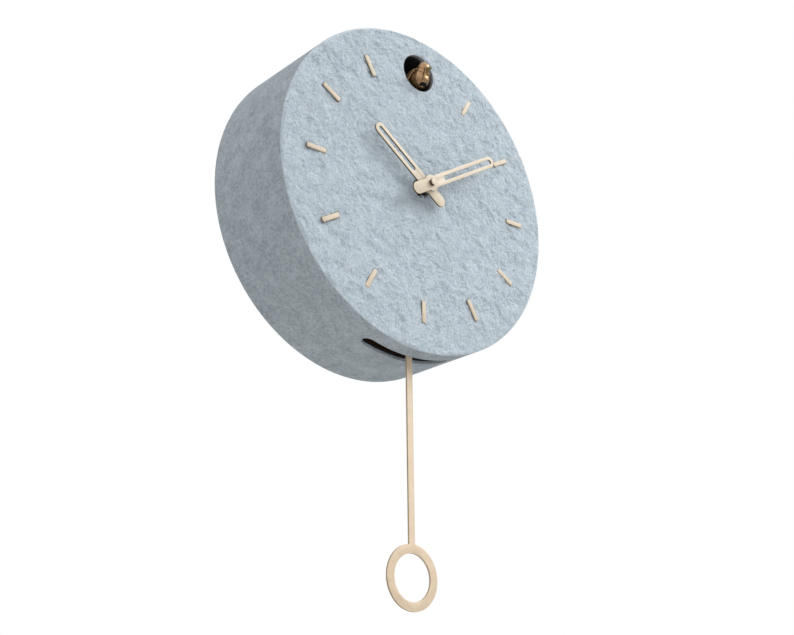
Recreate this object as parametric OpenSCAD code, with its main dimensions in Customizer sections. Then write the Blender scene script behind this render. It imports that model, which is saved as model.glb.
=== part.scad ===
// Round wall clock with hour bars, slotted hands, a bird in a round window and a hanging pendulum.
// Frame: origin on the hand axis in the wall plane, +Z to the twelve o'clock side, the front looks along -Y.

/* [Case] */
// Outside diameter of the drum case
case_d = 250; // [220:1:300]
// Depth of the drum case, dial panel included
case_depth = 78.5; // [78:0.5:100]
// Wall of the case band
case_wall = 4; // [3:0.5:6]
// Thickness of the dial panel
dial_t = 5; // [4:0.5:6]
// Gap that the wall bumpers keep between the case and the wall
wall_gap = 1.5; // [1:0.5:4]
// Small round on the dial panel's front edge
edge_bevel = 0.6; // [0.3:0.1:1.5]
// Thickness of the rear ring panel
rear_t = 3; // [2.5:0.5:4]
// How far the rear ring panel sits inside the case's rear edge
rear_recess = 3.5; // [3:0.5:6]
// Width of the rear ring panel, from its access opening to the band
rear_ring_w = 33; // [28:1:40]

/* [Dial] */
// Radius at the inner end of an hour bar
bar_r0 = 87.4; // [80:0.1:92]
// Length of an hour bar
bar_l = 16.9; // [10:0.1:18]
// Width of an hour bar
bar_w = 4; // [3:0.1:6]
// Thickness of an hour bar
bar_t = 1.5; // [1:0.1:3]
// Corner round of an hour bar
bar_round = 1; // [0.4:0.1:1.4]
// Diameter of the bird's window
window_d = 29.5; // [28:0.5:35]

/* [Hands] */
// Width of both hands
hand_w = 9; // [7:0.05:10]
// Width of the slot in both hands
hand_slot_w = 3.5; // [2.5:0.1:4]
// Thickness of the hands' sheet
hand_t = 1.2; // [0.8:0.1:1.4]
// Radius of the round widening at the hand axis
hub_r = 6.2; // [5:0.1:8]
// Reach of the minute hand
minute_reach = 74.8; // [60:0.1:82]
// Reach of the hour hand
hour_reach = 58; // [45:0.1:65]
// Length of both tails
tail_reach = 19.8; // [14:0.1:24]
// Radius where the slot of both hands begins
slot_start = 14.4; // [12:0.1:18]
// Front surface of the hour hand above the dial
hour_hand_h = 7.3; // [5.6:0.05:8]
// Front surface of the minute hand above the dial
minute_hand_h = 12; // [10.5:0.1:13]
// Diameter of the centre cap
cap_d = 5.2; // [4.8:0.1:7]
// Height of the centre cap above the minute hand
cap_h = 2.6; // [2:0.1:5]

/* [Pendulum] */
// Distance of the ring's centre below the hand axis
ring_drop = 277.5; // [230:0.5:330]
// Outside diameter of the ring
ring_d = 44.2; // [36:0.2:60]
// Width of the ring's band
ring_band = 6.2; // [4:0.1:9]
// Width of the rod
rod_w = 5.2; // [4:0.1:8]
// Thickness of the pendulum's sheet
pendulum_t = 1.4; // [1:0.1:2]
// Distance of the pendulum's middle plane behind the dial face
pendulum_inset = 15.6; // [15:0.1:20]
// Half the length of the slot in the bottom of the case
slot_half = 38.6; // [34:0.1:45]
// Width of the slot in the bottom of the case
slot_w = 10.6; // [8:0.1:14]
// How far the slot's middle lies behind the pendulum's middle plane
slot_behind = 3.6; // [0:0.1:4]

/* [Bird] */
// How far the bird's breast stands out of the dial face
bird_out = 10; // [6:0.5:12]
// Module of the bird's rack and pinion
rack_m = 0.8; // [0.7:0.05:0.9]

/* [Hidden] */
$fn = 96;
EPS = 0.01;
RUN = 0.07;          // radial clearance of a running fit
SLACK = 0.3;         // gap between a moving piece and its surroundings
face_y = -(wall_gap + case_depth);
dial_back = face_y + dial_t;
case_r = case_d / 2;
bore_r = case_r - case_wall;
rear_y = -(wall_gap + rear_recess);
window_r = window_d / 2;
window_z = bar_r0 + bar_l / 2;
slot_inset = pendulum_inset + slot_behind;

// Fixing blocks and screws of the rear ring
block_w = 20;
block_h = 14;
block_l = 20;
block_gap = 0.2;
screw_r = 1.6;
screw_head_r = 3.5;
screw_l = 15;
screw_ring_r = bore_r - block_h + 1;
screw_angles = [45, 135, 225, 315];
bumper_angles = [30, 150, 210, 330];
bumper_r = 5;

// Keyhole hanger
hanger_w = 44;
hanger_h = 22;
hanger_t = 1.5;
key_entry_r = 4.5;
key_slot_r = 2.25;
key_rise = 8;
key_room_r = 7;
hanger_z = bore_r - rear_ring_w / 2 - 0.5;
key_z = hanger_z - key_rise / 2 + 1;
rivet_x = hanger_w / 2 - 5;
rivet_r = 1.6;
rivet_head_r = 3;
rivet_head_h = 1.1;

// Window tube and the bird unit's frame
liner_t = 1.5;
liner_l = 32;
liner_end = dial_back + liner_l;
frame_t = 3;
frame_w = 44;
frame_top = window_z + window_r + 3;
post_r = 2.5;
post_x = window_r + liner_t + post_r;
post_z = window_z - window_r - post_r;
bird_z = window_z - 3.5;
bar_x = 5;
rack_z = bird_z - 3;
rack_top = bird_z + 3;
pinion_n = 12;
pinion_r = rack_m * pinion_n / 2;
pinion_y = liner_end + 10;
pinion_z = rack_z - pinion_r;
guide_wall = 4.3;
guide_l = 20;
shaft_r = 1.5;
motor_r = 6.5;
motor_l = 20;
carriage_l = 34;
carriage_y = face_y + 9;

// Bird, placed from its middle
bird_y = face_y;
breast_r = 6.5;
breast_at = [0, bird_y - (bird_out - breast_r), bird_z - 3.2];
head_r = 5.4;
head_at = [0, bird_y - 4, bird_z + 4.6];
tail_at = [0, bird_y + 11.5, bird_z - 1];
wing_t = 0.8;
wing_hinge_x = 6.3;
wing_hinge_z = bird_z + 2.9;
wing_tilt = 12;
knuckle_r = 0.95;
wing_pin_r = 0.45;
beak_y = bird_y - 7.6;
beak_z = bird_z + 1.7;
beak_l = 5.4;
jaw_y = bird_y - 7.4;
jaw_z = beak_z - 1.2;
jaw_w = 1.3;
jaw_r = 0.7;
jaw_pin_r = 0.3;

// Clock movement
movement_w = 56;
movement_depth = 15.5;
washer_gap = 0.6;
shell_t = 1.5;
mv_front = dial_back + washer_gap;
mv_back = mv_front + movement_depth;
mv_in = mv_front + shell_t;
cover_t = 1.5;
bushing_r = 4;
tube_r = 2.55;
tube_bore = 1.75;
arbor_r = tube_bore - RUN;
arbor_tip_r = 1.5;
cap_roof = 0.9;
minute_angle = 58.6;
hour_angle = 305;
hour_n = 40;
motion_pinion_n = 10;
cannon_n = 12;
motion_n = 36;
centre_n = 60;
third_n = 8;
knob_n = 12;
motion_m = 0.5;
hour_m = motion_m * (cannon_n + motion_n) / (hour_n + motion_pinion_n);
train_m = 0.4;
motion_angle = 225;
third_angle = 60;
knob_angle = 300;
motion_d = motion_m * (cannon_n + motion_n) / 2;
third_d = train_m * (centre_n + third_n) / 2;
knob_d = motion_m * (motion_n + knob_n) / 2;
motion_at = motion_d * [cos(motion_angle), sin(motion_angle)];
third_at = third_d * [cos(third_angle), sin(third_angle)];
knob_at = motion_at + knob_d * [cos(knob_angle), sin(knob_angle)];
// Levels behind the front shell's inner face
hour_wheel_a = 0.4;
hour_wheel_t = 1.2;
cannon_a = 2.0;
cannon_t = 2.6;
motion_wheel_a = 2.9;
centre_wheel_a = 5.4;
thin_wheel_t = 1.0;
third_a = 4.7;
third_t = 2.4;
can_a = 7.8;
can_r = 8;
knob_r = 6.5;

// Pendulum drive
pendulum_y = face_y + pendulum_inset;
pivot_z = -38;
drive_w = 46;
drive_top = -30;
drive_h = 44;
coil_air = 0.8;
hanger_arm_t = 1.6;
arm_gap = 0.2;
arm_front = pendulum_y + pendulum_t / 2 + arm_gap;
pivot_r = 1;
hook_z = -78;
hook_r = 1.2;
magnet_z = -62;
magnet_r = 4;
magnet_t = 2.6;
drive_coil_t = 3;
drive_depth = arm_front + hanger_arm_t + magnet_t + coil_air + drive_coil_t + shell_t - dial_back;

// Sound, controls and cells
cell_r = 13.1;
cell_l = 50;
cell_gap = 0.4;
tray_t = 1.8;
tray_x = -68;
tray_w = 4 * (cell_r + cell_gap) + 2 * tray_t;
tray_h = cell_l + 8 + 2 * tray_t;
tray_depth = 2 * (cell_r + cell_gap) + tray_t;
tray_y = dial_back;
cover_plate_t = 1.6;
speaker_x = 66;
speaker_r = 25;
speaker_depth = 14;
board_x = 56;
board_z = 54;
board_w = 44;
board_h = 28;
board_t = 1.6;
board_y = dial_back + 4;
slider_gap = 15;

HOURS = [1:11];

// ---------- shared shapes ----------

// Draws in the plane of the dial: drawn x to +X, drawn y to +Z, height towards the front from depth y0
module from_y(y0) { translate([0, y0, 0]) rotate([90, 0, 0]) children(); }

// Draws a side view: drawn x to +Y, drawn y to +Z, height to +X, centred
module side_view(width) {
  rotate([90, 0, 90]) translate([0, 0, -width / 2]) linear_extrude(width) children();
}

// A plain disc between two depths, axis along Y
module disc(r, y_front, y_rear, at = [0, 0]) {
  translate([at[0], y_rear, at[1]]) rotate([90, 0, 0]) cylinder(r = r, h = y_rear - y_front);
}

// A box given by its corners
module block(low, high) { translate(low) cube(high - low); }

// A flat bar with full round ends, from (x0, 0) to (x1, 0) at its tips
module stadium(x0, x1, w) {
  translate([x0 + w / 2, -w / 2]) square([x1 - x0 - w, w]);
  for (x = [x0 + w / 2, x1 - w / 2]) translate([x, 0]) circle(d = w);
}

// A rectangle with round corners, centred
module round_rect(w, h, r) {
  square([w, h - 2 * r], center = true);
  square([w - 2 * r, h], center = true);
  for (x = [-1, 1], y = [-1, 1]) translate([x * (w / 2 - r), y * (h / 2 - r)]) circle(r);
}

// Involute gear outline: a tooth is centred on the drawn x axis
function inv(a) = tan(a) - a * PI / 180;
function half_tooth(r, rb, z, m, play) =
  90 / z - play / (m * z) * 180 / PI + (inv(20) - (r > rb ? inv(acos(rb / r)) : 0)) * 180 / PI;
function gear_points(m, z, play = 0.12) =
  let (rp = m * z / 2, rb = rp * cos(20), rf = rp - 1.3 * m, ra = rp + 0.8 * m)
  let (rs = [for (k = [0:3]) max(rf, rb) + (ra - max(rf, rb)) * k / 3])
  [for (i = [0:z - 1])
    each concat(
      [[rf, i * 360 / z - half_tooth(rs[0], rb, z, m, play)]],
      [for (k = [0:3]) [rs[k], i * 360 / z - half_tooth(rs[k], rb, z, m, play)]],
      [for (k = [3:-1:0]) [rs[k], i * 360 / z + half_tooth(rs[k], rb, z, m, play)]],
      [[rf, i * 360 / z + half_tooth(rs[0], rb, z, m, play)]])];
module gear(m, z, t, turn = 0) {
  linear_extrude(t) rotate(turn)
    polygon([for (p = gear_points(m, z)) if (p[0] > 0) p[0] * [cos(p[1]), sin(p[1])]]);
}
// Turn of gear B so that it meshes with gear A; B lies at angle dir from A
function meshed(dir, turn_a, za, zb) = dir + 180 - (0.5 - (dir - turn_a) * za / 360) * 360 / zb;

cannon_turn = 0;
motion_turn = meshed(motion_angle, cannon_turn, cannon_n, motion_n);
hour_turn = meshed(motion_angle + 180, 0, motion_pinion_n, hour_n);
third_turn = meshed(third_angle, 0, centre_n, third_n);
knob_turn = meshed(knob_angle, motion_turn, motion_n, knob_n);

// ---------- case ----------

module dial_panel() {
  color([0.74, 0.79, 0.83]) difference() {
    from_y(dial_back) union() {
      cylinder(r = case_r, h = dial_t - edge_bevel);
      translate([0, 0, dial_t - edge_bevel]) cylinder(r1 = case_r, r2 = case_r - edge_bevel, h = edge_bevel);
    }
    disc(window_r, face_y - 1, dial_back + 1, [0, window_z]);
    disc(bushing_r + 0.2, face_y - 1, dial_back + 1);
  }
}

module case_band() {
  color([0.6, 0.64, 0.67]) difference() {
    disc(case_r, dial_back, -wall_gap);
    disc(bore_r, dial_back - 1, 0);
    translate([0, face_y + slot_inset, -case_r - 1]) linear_extrude(case_wall * 6)
      stadium(-slot_half, slot_half, slot_w);
  }
}

module window_liner() {
  color([0.08, 0.08, 0.09]) difference() {
    disc(window_r + liner_t, dial_back, liner_end, [0, window_z]);
    disc(window_r, dial_back - 1, liner_end + 1, [0, window_z]);
  }
}

module keyhole_room(r) {
  translate([0, key_z]) circle(r);
  translate([0, key_z + key_rise]) circle(r);
  translate([-r, key_z]) square([2 * r, key_rise]);
}

module rear_panel() {
  color([0.72, 0.6, 0.45]) difference() {
    from_y(rear_y) linear_extrude(rear_t) difference() {
      circle(bore_r - block_gap);
      circle(bore_r - rear_ring_w);
      keyhole_room(key_room_r);
      for (x = [-1, 1]) translate([x * rivet_x, hanger_z]) circle(rivet_r);
    }
    for (a = screw_angles) rotate([0, a, 0]) translate([0, rear_y, screw_ring_r]) rotate([90, 0, 0]) {
      translate([0, 0, -1]) cylinder(r = screw_r + 0.4, h = rear_t + 2);
      translate([0, 0, -EPS])
        cylinder(r1 = screw_head_r + 0.2, r2 = screw_r + 0.4, h = screw_head_r - screw_r);
    }
  }
}

module case_blocks() {
  front = rear_y - rear_t - block_l;
  color([0.8, 0.67, 0.48]) for (a = screw_angles) rotate([0, a, 0]) difference() {
    intersection() {
      block([-block_w / 2, front, bore_r - block_h - 2], [block_w / 2, rear_y - rear_t, bore_r]);
      disc(bore_r - 0.02, front - 1, 0);
    }
    disc(screw_r, rear_y - screw_l - 1, 0, [0, screw_ring_r]);
  }
}

module rear_screws() {
  head_h = screw_head_r - screw_r;
  color([0.7, 0.7, 0.72]) for (a = screw_angles) rotate([0, a, 0]) translate([0, rear_y, screw_ring_r])
    rotate([90, 0, 0]) difference() {
      union() {
        cylinder(r = screw_r - 0.02, h = screw_l);
        cylinder(r1 = screw_head_r, r2 = screw_r - 0.02, h = head_h);
      }
      for (t = [0, 90]) rotate(t) translate([-1.8, -0.35, -EPS]) cube([3.6, 0.7, 1.2]);
    }
}

module hanger_plate() {
  color([0.62, 0.63, 0.65]) from_y(rear_y + hanger_t) linear_extrude(hanger_t) difference() {
    translate([0, hanger_z]) round_rect(hanger_w, hanger_h, 4);
    translate([0, key_z]) circle(key_entry_r);
    translate([0, key_z + key_rise]) circle(key_slot_r);
    translate([-key_slot_r, key_z]) square([2 * key_slot_r, key_rise]);
    for (x = [-1, 1]) translate([x * rivet_x, hanger_z]) circle(rivet_r);
  }
}

module hanger_rivets() {
  color([0.75, 0.75, 0.76]) for (x = [-1, 1]) {
    disc(rivet_r, rear_y - rear_t, rear_y + hanger_t, [x * rivet_x, hanger_z]);
    translate([x * rivet_x, rear_y + hanger_t, hanger_z]) rotate([-90, 0, 0])
      cylinder(r1 = rivet_head_r, r2 = rivet_head_r - 0.8, h = rivet_head_h);
    translate([x * rivet_x, rear_y - rear_t, hanger_z]) rotate([90, 0, 0])
      cylinder(r1 = rivet_head_r, r2 = rivet_head_r - 0.8, h = rivet_head_h);
  }
}

module wall_bumpers() {
  color([0.15, 0.15, 0.15]) for (a = bumper_angles) rotate([0, a, 0])
    disc(bumper_r, rear_y, 0, [0, bore_r - bumper_r - 3]);
}

module hour_bar(h) {
  color([0.9, 0.83, 0.73]) from_y(face_y) rotate(90 - 30 * h) translate([bar_r0 + bar_l / 2, 0])
    linear_extrude(bar_t) round_rect(bar_l, bar_w, bar_round);
}

// ---------- hands ----------

module hand_sheet(reach, hole_r) {
  linear_extrude(hand_t) difference() {
    union() {
      stadium(-tail_reach, reach, hand_w);
      circle(hub_r);
    }
    stadium(slot_start, reach - (hand_w - hand_slot_w) / 2, hand_slot_w);
    circle(hole_r);
  }
}

module minute_hand() {
  color([0.9, 0.84, 0.74]) from_y(face_y - minute_hand_h + hand_t) rotate(90 - minute_angle)
    hand_sheet(minute_reach, arbor_r);
}

module hour_hand() {
  color([0.9, 0.84, 0.74]) from_y(face_y - hour_hand_h + hand_t) rotate(90 - hour_angle)
    hand_sheet(hour_reach, tube_r);
}

module centre_cap() {
  front = face_y - minute_hand_h;
  color([0.9, 0.84, 0.74]) difference() {
    disc(cap_d / 2, front - cap_h, front);
    disc(arbor_tip_r, front - cap_h + cap_roof, front + EPS);
  }
}

module fixing_nut() {
  color([0.78, 0.62, 0.3]) difference() {
    from_y(face_y - 0.5) cylinder(d = 11 / cos(30), h = 1.9, $fn = 6);
    disc(bushing_r, face_y - 3, face_y);
  }
}

module dial_washer() {
  color([0.78, 0.62, 0.3]) difference() {
    disc(7.5, face_y - 0.5, face_y);
    disc(bushing_r + 0.15, face_y - 1, face_y + 1);
  }
}

module rubber_washer() {
  color([0.12, 0.12, 0.12]) difference() {
    disc(11, dial_back, mv_front);
    disc(bushing_r + 0.15, dial_back - 1, mv_front + 1);
  }
}

// ---------- clock movement ----------

module movement_shell() {
  bushing_front = face_y - 2.9;
  color([0.16, 0.17, 0.18]) difference() {
    union() {
      translate([0, mv_back - cover_t, 0]) rotate([90, 0, 0])
        linear_extrude(movement_depth - cover_t) round_rect(movement_w, movement_w, 4);
      disc(bushing_r, bushing_front, mv_front + EPS);
    }
    from_y(mv_back) linear_extrude(movement_depth - shell_t)
      round_rect(movement_w - 2 * shell_t, movement_w - 2 * shell_t, 3);
    disc(tube_r + RUN, bushing_front - 1, mv_in + 1);
  }
  color([0.16, 0.17, 0.18]) {
    disc(0.73, mv_in - EPS, mv_in + centre_wheel_a - 0.6, motion_at);
    difference() {
      disc(2, mv_in - EPS, mv_in + 3.4, third_at);
      disc(0.8 + RUN, mv_in + 1.2, mv_in + 4, third_at);
    }
  }
}

module movement_cover() {
  color([0.2, 0.21, 0.22]) difference() {
    union() {
      translate([0, mv_back, 0]) rotate([90, 0, 0])
        linear_extrude(cover_t) round_rect(movement_w, movement_w, 4);
      disc(3, mv_back - cover_t - 2, mv_back - cover_t + EPS);
    }
    disc(1 + RUN, mv_back - cover_t - 3, mv_back - 0.4);
    disc(shaft_r + RUN, mv_back - 4, mv_back + 1, knob_at);
  }
}

module hour_wheel() {
  color([0.93, 0.93, 0.9]) difference() {
    union() {
      from_y(mv_in + hour_wheel_a + hour_wheel_t) gear(hour_m, hour_n, hour_wheel_t, hour_turn);
      disc(tube_r, face_y - hour_hand_h - 0.2, mv_in + hour_wheel_a + hour_wheel_t);
    }
    disc(tube_bore, face_y - hour_hand_h - 1, mv_in + hour_wheel_a + hour_wheel_t + 1);
  }
}

module centre_wheel() {
  color([0.8, 0.68, 0.36]) {
    from_y(mv_in + cannon_a + cannon_t) gear(motion_m, cannon_n, cannon_t, cannon_turn);
    from_y(mv_in + centre_wheel_a + thin_wheel_t) gear(train_m, centre_n, thin_wheel_t, 0);
    disc(arbor_r, face_y - minute_hand_h, mv_in + centre_wheel_a + 2);
    disc(arbor_tip_r, face_y - minute_hand_h - cap_h + cap_roof + 0.2, face_y - minute_hand_h + EPS);
    disc(1, mv_in + centre_wheel_a + 1.9, mv_back - 0.5);
  }
}

module motion_wheel() {
  rear = mv_in + motion_wheel_a + thin_wheel_t;
  color([0.93, 0.93, 0.9]) difference() {
    union() {
      from_y(rear) translate(motion_at) gear(motion_m, motion_n, thin_wheel_t, motion_turn);
      from_y(rear - thin_wheel_t + EPS) translate(motion_at)
        gear(hour_m, motion_pinion_n, motion_wheel_a - 0.3, 0);
    }
    disc(0.8, mv_in - 1, rear + 1, motion_at);
  }
}

module third_arbor() {
  color([0.8, 0.8, 0.82]) {
    from_y(mv_in + third_a + third_t) translate(third_at) gear(train_m, third_n, third_t, third_turn);
    disc(0.8, mv_in + 1.5, mv_in + can_a + 3, third_at);
  }
}

module motor_can() {
  color([0.7, 0.7, 0.72]) difference() {
    disc(can_r, mv_in + can_a, mv_back - cover_t, third_at);
    disc(0.8 + RUN, mv_in + can_a - 1, mv_in + can_a + 3.4, third_at);
  }
}

module coil() {
  color([0.72, 0.38, 0.16]) difference() {
    union() {
      for (z = [4, 24]) block([18.5, mv_in + 0.5, z - 25], [26, mv_in + 8, z - 23.5]);
      translate([22.2, mv_in + 4.2, -21.2]) cylinder(r = 3.4, h = 20.4);
    }
    block([21, mv_in + 3, -22], [23.4, mv_in + 5.4, 1]);
  }
}

module circuit_board() {
  color([0.12, 0.4, 0.22]) block([-25.6, mv_in + 8.6, -24], [-13, mv_in + 10, 24]);
}

module setting_knob() {
  knob_front = mv_back + 0.5;
  color([0.9, 0.9, 0.9]) {
    from_y(mv_in + motion_wheel_a + 1.3) translate(knob_at) gear(motion_m, knob_n, 1.6, knob_turn);
    disc(shaft_r, mv_in + motion_wheel_a - 0.3, knob_front + 1, knob_at);
    difference() {
      disc(knob_r, knob_front, knob_front + 4, knob_at);
      for (a = [0:30:330])
        disc(0.8, knob_front - 1, knob_front + 5, knob_at + (knob_r + 0.2) * [cos(a), sin(a)]);
    }
  }
}

// ---------- pendulum drive ----------

module drive_housing() {
  rear = dial_back + drive_depth;
  bottom = drive_top - drive_h;
  color([0.16, 0.17, 0.18]) {
    difference() {
      block([-drive_w / 2, dial_back, bottom], [drive_w / 2, rear, drive_top]);
      block([-drive_w / 2 + shell_t, dial_back + shell_t, bottom - 1],
            [drive_w / 2 - shell_t, rear - shell_t, drive_top - shell_t]);
      disc(pivot_r, rear - shell_t - 1, rear + 1, [0, pivot_z]);
    }
    difference() {
      disc(3, dial_back + shell_t - EPS, pendulum_y - pendulum_t - 1, [0, pivot_z]);
      disc(pivot_r, dial_back + shell_t, pendulum_y, [0, pivot_z]);
    }
  }
}

module drive_coil() {
  rear = dial_back + drive_depth - shell_t;
  color([0.72, 0.38, 0.16]) difference() {
    disc(7, rear - drive_coil_t, rear, [0, magnet_z]);
    disc(2, rear - drive_coil_t - 1, rear - 1, [0, magnet_z]);
  }
}

module pivot_pin() {
  color([0.8, 0.8, 0.82]) disc(pivot_r, dial_back + shell_t + 1, dial_back + drive_depth, [0, pivot_z]);
}

module hanger_arm() {
  rear = arm_front + hanger_arm_t;
  color([0.9, 0.9, 0.88]) difference() {
    union() {
      disc(3.2, arm_front, rear, [0, pivot_z]);
      disc(2.2, arm_front - 1.5, rear + 1.5, [0, pivot_z]);
      block([-3, arm_front, hook_z], [3, rear, pivot_z]);
      disc(magnet_r + 1, arm_front, rear, [0, magnet_z]);
      disc(3, arm_front, rear, [0, hook_z]);
      disc(hook_r, arm_front - arm_gap - pendulum_t - 0.6, arm_front + EPS, [0, hook_z]);
    }
    disc(pivot_r + RUN, arm_front - 3, rear + 3, [0, pivot_z]);
  }
}

module arm_magnet() {
  arm_rear = arm_front + hanger_arm_t;
  color([0.6, 0.6, 0.62]) disc(magnet_r, arm_rear, arm_rear + magnet_t, [0, magnet_z]);
}

module pendulum() {
  outer = ring_d / 2;
  inner = outer - ring_band;
  color([0.9, 0.84, 0.74]) from_y(pendulum_y + pendulum_t / 2) linear_extrude(pendulum_t) difference() {
    union() {
      translate([-rod_w / 2, -ring_drop + inner + 1]) square([rod_w, ring_drop - inner - 1 + hook_z]);
      translate([0, hook_z]) circle(rod_w / 2 + 0.4);
      translate([0, -ring_drop]) circle(outer);
    }
    translate([0, -ring_drop]) circle(inner);
    translate([0, hook_z]) circle(hook_r);
  }
}

// ---------- bird unit ----------

module bird_frame() {
  half_gap = bar_x / 2 + SLACK;
  front = liner_end;
  back = liner_end + frame_t + guide_l;
  color([0.2, 0.21, 0.22]) difference() {
    union() {
      block([-frame_w / 2, front, post_z - 5], [frame_w / 2, front + frame_t, frame_top]);
      for (x = [-half_gap - guide_wall, half_gap])
        block([x, front + frame_t - EPS, pinion_z - 5], [x + guide_wall, back, rack_top + 4]);
      block([-half_gap - guide_wall, front + frame_t - EPS, rack_top + SLACK],
            [half_gap + guide_wall, back, rack_top + 4]);
      block([-half_gap - 1, back - 3, pinion_z - 5], [half_gap + 1, back, rack_z - rack_m * 1.4 - SLACK]);
      for (x = [-1, 1]) disc(post_r, dial_back, front + EPS, [x * post_x, post_z]);
    }
    block([-half_gap, front - 1, rack_z - rack_m * 1.4 - SLACK],
          [half_gap, front + frame_t + 1, rack_top + SLACK]);
    rotate([0, 90, 0]) translate([-pinion_z, pinion_y, -frame_w])
      cylinder(r = shaft_r + RUN, h = 2 * frame_w);
  }
}

function rack_outline(y0, y1) =
  let (p = PI * rack_m, mid = p / 4 - 0.06)
  let (top = mid + 1.1 * rack_m * tan(20), tip = mid - 0.8 * rack_m * tan(20))
  let (first = ceil((y0 + p - pinion_y) / p - 0.5), last = floor((y1 - p - pinion_y) / p - 0.5))
  concat([[y1, rack_top], [y0, rack_top], [y0, rack_z + 1.1 * rack_m]],
    [for (k = [first:last]) each let (c = pinion_y + (k + 0.5) * p)
      [[c - top, rack_z + 1.1 * rack_m], [c - tip, rack_z - 0.8 * rack_m],
       [c + tip, rack_z - 0.8 * rack_m], [c + top, rack_z + 1.1 * rack_m]]],
    [[y1, rack_z + 1.1 * rack_m]]);

module bird_carriage() {
  bar_front = carriage_y + 12;
  color([0.9, 0.9, 0.88]) side_view(bar_x) polygon(rack_outline(bar_front, bar_front + carriage_l));
  color([0.9, 0.9, 0.88]) disc(1.5, carriage_y, bar_front + EPS, [0, bird_z]);
}

module drive_pinion() {
  color([0.93, 0.93, 0.9]) translate([0, pinion_y, pinion_z]) rotate([90, 0, 90]) union() {
    translate([0, 0, -bar_x / 2]) gear(rack_m, pinion_n, bar_x, 90);
    translate([0, 0, -bar_x / 2 - 3.5]) cylinder(r = shaft_r, h = bar_x + 13);
  }
}

module bird_motor() {
  x0 = bar_x / 2 + SLACK + guide_wall;
  color([0.7, 0.7, 0.72]) translate([0, pinion_y, pinion_z]) rotate([90, 0, 90]) difference() {
    translate([0, 0, x0]) cylinder(r = motor_r, h = motor_l);
    translate([0, 0, x0 - 1]) cylinder(r = shaft_r + RUN, h = 6);
  }
}

module ball(at, r, n = 32) { translate(at) sphere(r, $fn = n); }

module bird_body() {
  jaw_room_x = jaw_w / 2 + 0.1;
  color([0.62, 0.48, 0.3]) {
    difference() {
      hull() {
        ball(breast_at, breast_r);
        ball([0, bird_y + 5, bird_z - 1.8], 5);
        ball(tail_at, 1.6);
      }
      disc(1.5, bird_y + 8.5, bird_y + 20, [0, bird_z]);
      block([-jaw_room_x, jaw_y - 4, jaw_z - 4], [jaw_room_x, jaw_y + jaw_r + 0.15, jaw_z + 4]);
    }
    difference() {
      hull() {
        ball(head_at, head_r);
        ball([0, bird_y + 1, bird_z + 1], 4);
      }
      block([-jaw_room_x, jaw_y - 4, jaw_z - 5], [jaw_room_x, jaw_y + jaw_r + 0.15, jaw_z + jaw_r + 0.1]);
    }
    translate([0, jaw_y, jaw_z]) rotate([0, 90, 0]) cylinder(r = jaw_pin_r, h = 4, center = true);
    hull() {
      ball([0, beak_y, beak_z + 1.6], 2);
      ball([0, beak_y - beak_l, beak_z + 1], 0.5);
    }
  }
  color([0.62, 0.48, 0.3]) for (x = [-1, 1]) translate([x * wing_hinge_x, 0, wing_hinge_z]) {
    disc(wing_pin_r, bird_y - 5, bird_y + 3);
    for (y = [-4.6, 2.6]) translate([-x * 3.5 / 2, bird_y + y, 0]) rotate([0, 90, 0])
      cylinder(r = 0.4, h = 3.5, center = true);
  }
}

module wing() {
  color([0.66, 0.52, 0.33]) translate([wing_hinge_x, bird_y, wing_hinge_z]) difference() {
    union() {
      disc(knuckle_r, -4, 2);
      rotate([0, -wing_tilt, 0]) translate([knuckle_r - wing_t, 0, -0.3]) rotate([90, 0, 90])
        linear_extrude(wing_t)
        polygon([[-3.8, 0], [1.8, 0], [10, -2.7], [12, -4.7],
                 [8, -6.2], [2, -7.7], [-3, -7.2], [-5.5, -4.2]]);
    }
    disc(wing_pin_r + RUN, -10, 10);
  }
}
module bird_wing_left() wing();
module bird_wing_right() mirror([1, 0, 0]) wing();

module bird_beak() {
  color([0.62, 0.48, 0.3]) translate([0, jaw_y, jaw_z]) difference() {
    union() {
      rotate([0, 90, 0]) cylinder(r = jaw_r, h = jaw_w, center = true);
      hull() {
        ball([0, -0.4, -0.1], jaw_w / 2 - 0.05, 20);
        ball([0, 0.6 - beak_l, -1.4], 0.4, 20);
      }
    }
    rotate([0, 90, 0]) cylinder(r = jaw_pin_r + RUN, h = 5, center = true);
  }
}

// ---------- sound, controls and cells ----------

module speaker() {
  color([0.3, 0.3, 0.32]) translate([speaker_x, dial_back, 0]) rotate([-90, 0, 0]) rotate_extrude()
    polygon([[0, 0], [12, 0], [12, 6], [speaker_r - 3, speaker_depth - 3], [speaker_r, speaker_depth - 3],
             [speaker_r, speaker_depth], [speaker_r - 4, speaker_depth], [9, 9.5], [5, 11.5], [0, 12]]);
}

module sound_board() {
  color([0.12, 0.4, 0.22]) {
    translate([board_x, board_y + board_t, board_z]) rotate([90, 0, 0]) linear_extrude(board_t)
      round_rect(board_w, board_h, 1.5);
    for (x = [-1, 1], z = [-1, 1])
      disc(2, dial_back, board_y + EPS, [board_x + x * (board_w / 2 - 4), board_z + z * (board_h / 2 - 4)]);
  }
  color([0.75, 0.75, 0.77]) for (x = [-1, 1]) difference() {
    block([board_x + x * slider_gap / 2 - 3, board_y + board_t - EPS, board_z - 6],
          [board_x + x * slider_gap / 2 + 3, board_y + board_t + 4, board_z + 6]);
    block([board_x + x * slider_gap / 2 - 2, board_y + board_t + 1, board_z - 5],
          [board_x + x * slider_gap / 2 + 2, board_y + board_t + 5, board_z + 5]);
  }
}

module slider(x) {
  y0 = board_y + board_t + 1 + 0.1;
  color([0.95, 0.95, 0.95]) union() {
    block([x - 1.8, y0, board_z - 4.8], [x + 1.8, y0 + 2, board_z - 0.2]);
    block([x - 1.2, y0 + 2 - EPS, board_z - 3.7], [x + 1.2, y0 + 6, board_z - 1.3]);
  }
}
module volume_slider() slider(board_x - slider_gap / 2);
module night_slider() slider(board_x + slider_gap / 2);

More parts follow.
